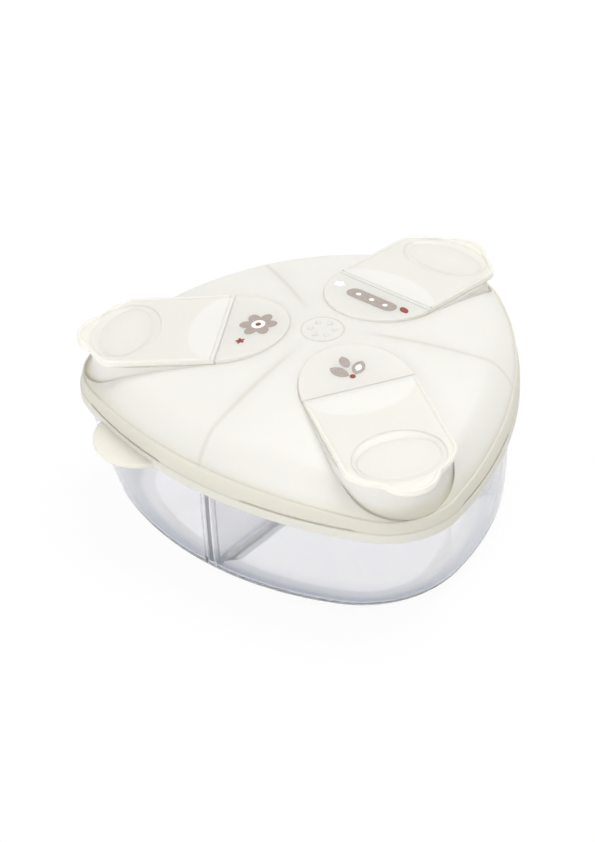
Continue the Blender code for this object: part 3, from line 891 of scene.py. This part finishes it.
def dress(obj, material, body, slot, *stands_for):
    """Give a finished piece its material and body, and hide the nodes that it stands for; the
    record slot is not used.
    """
    obj.data.materials.clear()
    obj.data.materials.append(material)
    obj.data.shade_smooth()
    obj.data.set_sharp_from_angle(angle=SMOOTH_ANGLE)
    flats = obj.modifiers.new("flats", "WEIGHTED_NORMAL")
    flats.keep_sharp = True
    apply_steps(obj)
    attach(obj, body)
    if stands_for:
        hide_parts(*stands_for)


def side_blade(name, line, back, thickness, shift):
    """A flat upright rib along the middle of the first side, between two lines."""
    rib = flat_shape(name, [line + back[::-1]], thickness)
    upright = Matrix.Rotation(math.pi / 2, 4, "X") @ Matrix.Translation((0, 0, shift))
    rib.data.transform(Matrix.Rotation(ARM_STEP / 2, 4, "Z") @ upright)
    return rib


def arm_bodies(depth):
    """The three raised towers, which flare from their sloping tops down into the ledge."""
    foot = RECESS_FLOOR - depth
    rings = [at_height(arm_outline(ARM_FLARE - depth), foot - OVERRUN)]
    for down, flare in FLARE_SHARES:
        ring = []
        for point in arm_outline(ARM_FLARE * flare - depth):
            top = arm_height(point.x) - ARM_FLOOR_DROP + ARM_SKIM - depth
            ring.append((*point, between(top, foot, down)))
        rings.append(ring)
    return copied_around(filled("arm_bodies", rings))


def arm_pockets(depth):
    """The three spaces that the plates and caps lie in."""
    outline = arm_outline(POCKET_GAP - ARM_MARGIN + depth)
    rings = [
        [(*point, arm_height(point.x) - drop) for point in outline]
        for drop in (ARM_FLOOR_DROP + depth, -OVERRUN)
    ]
    return copied_around(filled("arm_pockets", rings))


def recesses(depth):
    """The three round cuts in the shoulder under the lips."""
    outline = recess_outline(depth)
    rings = [at_height(outline, RECESS_FLOOR - depth), at_height(outline, arm_height(0) + OVERRUN)]
    return copied_around(filled("recesses", rings))


def lid_solid(name, skirt, depth):
    """The lid as a full body, or the space inside it."""
    solid = lofted(name, skirt + crown_rings(depth), cap_low=True)
    helpers = [
        combine(solid, recesses(depth), "DIFFERENCE"),
        combine(solid, arm_bodies(depth), "UNION"),
        combine(solid, arm_pockets(depth), "DIFFERENCE"),
    ]
    return apply_steps(solid, helpers)


def lift_tab():
    """Half-round tongue under one corner of the skirt, with rounded edges."""
    rings = []
    rounding = [
        (inward, TAB_THICKNESS / 2 - CAP_EDGE_ROUND + upward)
        for inward, upward in quarter(CAP_EDGE_ROUND, CAP_EDGE_ROUND)
    ]
    levels = [(inward, -height) for inward, height in reversed(rounding)] + rounding
    centre = polar(TAB_REACH, TAB_ANGLE)
    for inward, height in levels:
        ring = arc(centre, TAB_RADIUS - inward, 0, math.tau, OVAL_STEPS)[:-1]
        rings.append(at_height(ring, LID_BASE + TAB_THICKNESS / 2 + height))
    tab = filled("lift_tab", rings)
    inside = LID_OUTLINE.inset(LID_WALL / 2).points()
    levels = (LID_BASE - OVERRUN, LID_BASE + FLANGE_HEIGHT)
    trim = filled("tab_trim", [at_height(inside, level) for level in levels])
    return apply_steps(tab, [combine(tab, trim, "DIFFERENCE")])


def make_lid():
    """Domed lid: skirt, lift tab, three towers with oval spouts, and ribs over the divider."""
    lid = lid_solid("lid_dome", skirt_rings(), 0)
    spout = oval(SPOUT_CENTRE, SPOUT_HALF_LENGTH, SPOUT_HALF_WIDTH)
    depth = ARM_FLOOR_DROP + LID_WALL + OVERRUN
    rings = [at_height(on_slope(spout), height) for height in (-depth, OVERRUN)]
    spouts = filled("spouts", rings)
    spouts.data.transform(Matrix.Rotation(-FIRST_ARM_ANGLE, 4, "Z") @ hinge_frame(0))
    lower, upper = [
        section(crown_rings(deep))[RIB_RINGS] for deep in (LID_WALL + RIB_DEPTH, LID_WALL / 2)
    ]
    away = RIB_SPACING / 2 - RIB_THICKNESS / 2
    helpers = [
        combine(lid, lid_solid("lid_space", inner_skirt_rings(), LID_WALL), "DIFFERENCE"),
        combine(lid, lift_tab(), "UNION"),
        combine(lid, copied_around(spouts), "DIFFERENCE"),
    ]
    for shift in (-away, away):
        rib = side_blade("seal_rib", lower, upper, RIB_THICKNESS, shift)
        helpers.append(combine(lid, copied_around(rib), "UNION"))
    apply_steps(lid, helpers)
    dress(lid, IVORY_LID, "lid", "ivory_lid", "lid_shell")


def lower_edge(outline, foot):
    """Rings of a rounded lower edge, from the underside at a depth below the slope."""
    return [
        at_height(offset_line(outline, -inward, True), CAP_EDGE_ROUND - upward - foot)
        for inward, upward in reversed(quarter(CAP_EDGE_ROUND, CAP_EDGE_ROUND))
    ]


def make_plate(name, arm):
    """Fixed D-shaped plate with round edges, straight along the flip cap's hinge."""
    half = round_inner_end(HINGE_REACH - PLATE_INNER, CAP_HALF_WIDTH)
    half[0] = half[0] - Vector((FIT_GAP / 2, 0))
    outline = on_slope(both_sides(half))
    rings = lower_edge(outline, CAP_THICKNESS)
    for inward, upward in quarter(CAP_EDGE_ROUND, CAP_EDGE_ROUND):
        rings.append(at_height(offset_line(outline, -inward, True), upward - CAP_EDGE_ROUND))
    plate = filled(f"plate_{name}", rings)
    plate.data.transform(hinge_frame(arm))
    dress(plate, IVORY_PLATE, "lid", "ivory_plate", f"hinge_plate_{name}")


def across_hinge(name, edges, half_width, levels):
    """A straight strip along the hinge line, between two edges and two levels."""
    near, far = edges
    corners = [(near, -half_width), (far, -half_width), (far, half_width), (near, half_width)]
    return filled(name, [at_height(corners, level) for level in levels])


def make_cap(name, arm):
    """Flip cap: raised rim bead, thumb lip, oval finger dish and the spout's plug."""
    outline = on_slope(cap_outline())
    rings = lower_edge(outline, CAP_THICKNESS)
    rise = quarter(CAP_RIM_WIDTH / 2, CAP_RIM_HEIGHT)
    for inward, upward in rise:
        rings.append(at_height(offset_line(outline, -inward, True), upward))
    for inward, upward in reversed(rise[:-1]):
        rings.append(at_height(offset_line(outline, inward - CAP_RIM_WIDTH, True), upward))
    cap = filled(f"cap_{name}", rings)

    edges = (-OVERRUN, HINGE_RELIEF)
    relief = across_hinge("relief", edges, CAP_HALF_WIDTH + OVERRUN, (-RELIEF_DEPTH, OVERRUN))

    plug_outline = on_slope(
        oval(SPOUT_CENTRE, SPOUT_HALF_LENGTH - FIT_GAP, SPOUT_HALF_WIDTH - FIT_GAP)
    )
    rings = lower_edge(plug_outline, CAP_THICKNESS + PLUG_DEPTH)
    rings.append(at_height(plug_outline, -CAP_THICKNESS / 2))
    plug = filled("plug", rings)

    rings = []
    for outward, down in DISH_SHARES:
        points = oval(
            DISH_CENTRE,
            between(DISH_FLOOR_LENGTH, DISH_RIM_LENGTH, outward),
            between(DISH_FLOOR_WIDTH, DISH_RIM_WIDTH, outward),
        )
        rings.append(at_height(on_slope(points), -DISH_DEPTH * down))
    rings.append([(x, y, OVERRUN) for x, y, height in rings[-1]])
    dish = filled("dish", rings)

    helpers = [
        combine(cap, plug, "UNION"),
        combine(cap, relief, "DIFFERENCE"),
        combine(cap, dish, "DIFFERENCE"),
    ]
    apply_steps(cap, helpers)
    cap.data.transform(hinge_frame(arm))
    dress(cap, IVORY_CAP, f"cap_{name}", "ivory_cap", f"flip_cap_{name}")


def make_webs():
    """The thin living hinges, in the gap between each plate and its cap."""
    edges = (-WEB_WIDTH / 2, WEB_WIDTH / 2)
    levels = (-WEB_DROP - WEB_HEIGHT, -WEB_DROP)
    webs = across_hinge("hinge_webs", edges, CAP_HALF_WIDTH - FIT_GAP, levels)
    webs.data.transform(Matrix.Rotation(-FIRST_ARM_ANGLE, 4, "Z") @ hinge_frame(0))
    copied_around(webs)
    dress(webs, IVORY_PLATE, "lid", "ivory_plate")


def divider_outline(spread):
    """Three blades seen from above, round where they meet and wider before their plain tips."""
    half = BLADE_HALF + spread
    wall = BASE_OUTLINE.side - BOWL_WALL
    bend = math.pi / 2 + ARM_STEP / 2
    edge = (
        (wall - BLADE_FLARE_END, half),
        (wall - BLADE_TIP_PLAIN, BLADE_HALF),
        (LID_OUTLINE.side, BLADE_HALF),
    )
    found = []
    for arm in range(SIDES):
        facing = FIRST_ARM_ANGLE + arm * ARM_STEP
        middle = polar((BLADE_HUB_ROUND + half) / math.sin(ARM_STEP / 2), facing)
        found += arc(middle, BLADE_HUB_ROUND, facing - bend, facing + bend - math.tau, FILLET_STEPS)
        blade = facing + ARM_STEP / 2
        beside = polar(1, blade - math.pi / 2)
        found += [polar(reach, blade) + beside * away for reach, away in edge]
        found += [polar(reach, blade) - beside * away for reach, away in reversed(edge)]
    return found


def make_divider():
    """Clear three-blade divider with round corners at its hub and foot."""
    floor = BOWL_WALL + FIT_GAP
    rings = [at_height(divider_outline(BLADE_FOOT_ROUND), floor - OVERRUN)]
    for step in range(FILLET_STEPS + 1):
        rise = step / FILLET_STEPS
        spread = BLADE_FOOT_ROUND * (1 - math.sqrt(1 - (1 - rise) ** 2))
        rings.append(at_height(divider_outline(spread), floor + BLADE_FOOT_ROUND * rise))
    rings.append(at_height(divider_outline(0), LID_BASE + DOME_TOP + OVERRUN))
    divider = filled("clear_divider", rings)
    space = lofted("divider_space", bowl_rings(floor) + crown_rings(LID_WALL + FIT_GAP))
    apply_steps(divider, [combine(divider, space, "INTERSECT")])
    dress(divider, CLEAR_DIVIDER, "divider", "clear_divider", "divider_insert")


def make_bowl():
    """Clear bowl in one shell, with a pair of upright guides for each divider blade."""
    outer = bowl_rings(0)
    bowl = lofted("clear_bowl", outer + bowl_rings(BOWL_WALL)[::-1])
    wall = [point for point in section(outer) if point.y > GUIDE_FOOT]
    wall[-1] = wall[-1] - (wall[-1] - wall[-2]).normalized() * GUIDE_RIM_DROP
    front = offset_line(wall, -BOWL_WALL - GUIDE_DEPTH)
    root = offset_line(wall, -BOWL_WALL / 2)
    helpers = []
    for shift in (-GUIDE_SPACING / 2, GUIDE_SPACING / 2):
        guide = side_blade("divider_guide", front, root, GUIDE_THICKNESS, shift)
        helpers.append(combine(bowl, copied_around(guide), "UNION"))
    apply_steps(bowl, helpers)
    dress(bowl, CLEAR_BOWL, "bowl", "clear_bowl", "storage_bowl")


def make_mark():
    """Raised ring with six dots in the middle of the dome."""
    edges = [oval(0, radius, radius) for radius in (MARK_RADIUS, MARK_RADIUS - MARK_LINE)]
    ring = flat_shape("middle_ring", edges, 2 * MARK_HEIGHT)
    dots = flat_shape("middle_dots", [oval(MARK_DOT_REACH, MARK_DOT, MARK_DOT)], 2 * MARK_HEIGHT)
    copied_around(dots, IVORY_LID, MARK_DOTS)
    for piece in (ring, dots):
        for vertex in piece.data.vertices:
            vertex.co.z += crown_height(Vector(vertex.co[:2]).length)
        dress(piece, IVORY_LID, "lid", "ivory_lid")


def petals(count, reach, depth):
    """A closed outline with round petals."""
    turns = [math.tau * step / OVAL_STEPS for step in range(OVAL_STEPS)]
    return [polar(reach + depth * abs(math.cos(count * turn / 2)), turn) for turn in turns]


def make_prints():
    """Small generic motifs on the plates."""
    flower = petals(FLOWER_PETALS, FLOWER_REACH, FLOWER_DEPTH)
    star = petals(STAR_POINTS, STAR_REACH, STAR_DEPTH)
    disc = arc((0, 0), DISC_RADIUS, 0, math.tau, PRINT_STEPS)[:-1]
    half_turn = math.pi
    right_angle = math.pi / 2
    leaf = arc((0, -LEAF_SHIFT), LEAF_RADIUS, LEAF_START, LEAF_END, PRINT_STEPS)
    leaf += arc(
        (0, LEAF_SHIFT), LEAF_RADIUS, LEAF_START + half_turn, LEAF_END + half_turn, PRINT_STEPS
    )
    pill = arc((PILL_SHIFT, 0), PILL_RADIUS, -right_angle, right_angle, PILL_STEPS)
    pill += arc((-PILL_SHIFT, 0), PILL_RADIUS, right_angle, 3 * right_angle, PILL_STEPS)
    # Place from the hinge line and aside, turn in degrees, size, and coats of ink
    motifs = (
        ("left", "flower", flower, TAUPE_INK, (-0.0100, -0.0010), 0, 1.0, 1),
        ("left", "flower_middle", disc, WHITE_INK, (-0.0100, -0.0010), 0, 2.1, 1.5),
        ("left", "flower_heart", disc, RED_INK, (-0.0100, -0.0010), 0, 0.9, 2),
        ("left", "star", star, RED_INK, (-0.0060, 0.0075), 0, 1.1, 1),
        ("front", "leaf_left", leaf, TAUPE_INK, (-0.0080, -0.0030), 40, 0.85, 1),
        ("front", "leaf_right", leaf, TAUPE_INK, (-0.0080, 0.0030), -40, 0.85, 1),
        ("front", "leaf_shine", leaf, WHITE_INK, (-0.0080, 0.0030), -40, 0.4, 1.5),
        ("front", "leaf_top", leaf, TAUPE_INK, (-0.0115, 0.0), 0, 0.7, 1),
        ("front", "berry", disc, RED_INK, (-0.0050, 0.0), 0, 0.9, 1),
        ("right", "pill", pill, TAUPE_INK, (-0.0072, -0.0010), 90, 1.0, 1),
        ("right", "pill_dot_low", disc, WHITE_INK, (-0.0072, -0.0060), 0, 0.8, 1.5),
        ("right", "pill_dot_middle", disc, WHITE_INK, (-0.0072, -0.0010), 0, 0.8, 1.5),
        ("right", "pill_dot_high", disc, WHITE_INK, (-0.0072, 0.0040), 0, 0.8, 1.5),
        ("right", "leaf_red", leaf, RED_INK, (-0.0056, -0.0120), 60, 0.55, 1),
        ("right", "star", star, WHITE_INK, (-0.0060, 0.0122), 0, 1.4, 1.5),
    )
    for arm_name, motif, points, ink, place, turn, size, coats in motifs:
        piece = flat_shape(f"print_{arm_name}_{motif}", [points], PRINT_THICKNESS * coats)
        spot = Matrix.Translation((*place, PRINT_LIFT))
        turned = Matrix.Rotation(math.radians(turn), 4, "Z") @ Matrix.Diagonal((size, size, 1, 1))
        piece.data.transform(hinge_frame(ARM_NAMES.index(arm_name)) @ spot @ turned)
        dress(piece, ink, "lid", "print_ink")


make_lid()
for number, arm_name in enumerate(ARM_NAMES):
    make_plate(arm_name, number)
    make_cap(arm_name, number)
make_webs()
make_bowl()
make_divider()
make_mark()
make_prints()


# Studio

def set_camera():
    azimuth = math.radians(CAMERA_AZIMUTH)
    elevation = math.radians(CAMERA_ELEVATION)
    back = Vector((
        math.sin(azimuth) * math.cos(elevation),
        -math.cos(azimuth) * math.cos(elevation),
        math.sin(elevation),
    ))
    right = Vector((math.cos(azimuth), math.sin(azimuth), 0))
    up = back.cross(right)
    turn = Matrix((right, up, back)).transposed().to_4x4()
    data = bpy.data.cameras.new("camera")
    data.lens = CAMERA_FOCAL_PIXELS * SENSOR_LONG_SIDE / IMAGE_HEIGHT_PIXELS
    data.sensor_width = SENSOR_LONG_SIDE
    camera = bpy.data.objects.new("camera", data)
    bpy.context.scene.collection.objects.link(camera)
    place = Matrix.Translation(Vector(CAMERA_TARGET) + back * CAMERA_DISTANCE)
    camera.matrix_world = place @ turn @ Matrix.Rotation(math.radians(CAMERA_ROLL), 4, "Z")
    bpy.context.scene.camera = camera


def add_lamp(name, place, size, power):
    data = bpy.data.lights.new(name, "AREA")
    data.shape = "DISK"
    data.size = size
    data.energy = power
    lamp = bpy.data.objects.new(name, data)
    bpy.context.scene.collection.objects.link(lamp)
    lamp.location = place
    lamp.rotation_euler = (Vector(place) - Vector(LAMP_AIM)).to_track_quat("Z", "Y").to_euler()


def seen_directly(tree):
    """1 for rays that show the background straight, in a reflection or through clear plastic."""
    path = add_node(tree, "ShaderNodeLightPath").outputs
    gloss = add_node(
        tree, "ShaderNodeMath", {"operation": "MAXIMUM"},
        _0=path["Is Camera Ray"], _1=path["Is Glossy Ray"],
    )
    return add_node(
        tree, "ShaderNodeMath", {"operation": "MAXIMUM"},
        _0=gloss.outputs[0], _1=path["Is Transmission Ray"],
    ).outputs[0]


def make_world():
    """White backdrop, and a softer white for the light that it gives."""
    world = bpy.data.worlds.new("studio")
    bpy.context.scene.world = world
    world.use_nodes = True
    tree = world.node_tree
    light = tree.nodes["Background"]
    light.inputs["Color"].default_value = linear("#FFFFFF")
    light.inputs["Strength"].default_value = WORLD_LIGHT
    backdrop = add_node(tree, "ShaderNodeBackground", Color=linear("#FFFFFF"), Strength=1.0)
    mixed = add_node(
        tree, "ShaderNodeMixShader",
        _0=seen_directly(tree), _1=light.outputs[0], _2=backdrop.outputs[0],
    )
    tree.links.new(mixed.outputs[0], tree.nodes["World Output"].inputs["Surface"])


def make_floor():
    """White sweep that keeps a faint shadow of the object."""
    reach = FLOOR_REACH
    corners = [(-reach, -reach, 0), (reach, -reach, 0), (reach, reach, 0), (-reach, reach, 0)]
    mesh = bpy.data.meshes.new("floor")
    mesh.from_pydata(corners, [], [(0, 1, 2, 3)])
    floor = add_object("floor", mesh)
    paper, tree, shader = new_material("paper_white_matt")
    set_shader(shader, Base_Color=linear("#FFFFFF"), Roughness=0.9)
    glow = add_node(tree, "ShaderNodeEmission", Color=linear("#FFFFFF"), Strength=1.0)
    camera = add_node(tree, "ShaderNodeLightPath").outputs["Is Camera Ray"]
    straight = add_node(
        tree, "ShaderNodeMath", {"operation": "MULTIPLY"}, _0=camera, _1=FLOOR_STRAIGHT_SHARE
    )
    bent = add_node(
        tree, "ShaderNodeMath", {"operation": "MULTIPLY"},
        _0=seen_directly(tree), _1=FLOOR_BENT_SHARE,
    )
    share = add_node(
        tree, "ShaderNodeMath", {"operation": "MAXIMUM"}, _0=straight.outputs[0], _1=bent.outputs[0]
    )
    mixed = add_node(
        tree, "ShaderNodeMixShader", _0=share.outputs[0], _1=shader.outputs[0], _2=glow.outputs[0]
    )
    tree.links.new(mixed.outputs[0], tree.nodes["Material Output"].inputs["Surface"])
    floor.data.materials.append(paper)


set_camera()
bpy.context.scene.view_settings.view_transform = "Standard"
make_world()
make_floor()
for lamp in LAMPS:
    add_lamp(*lamp)
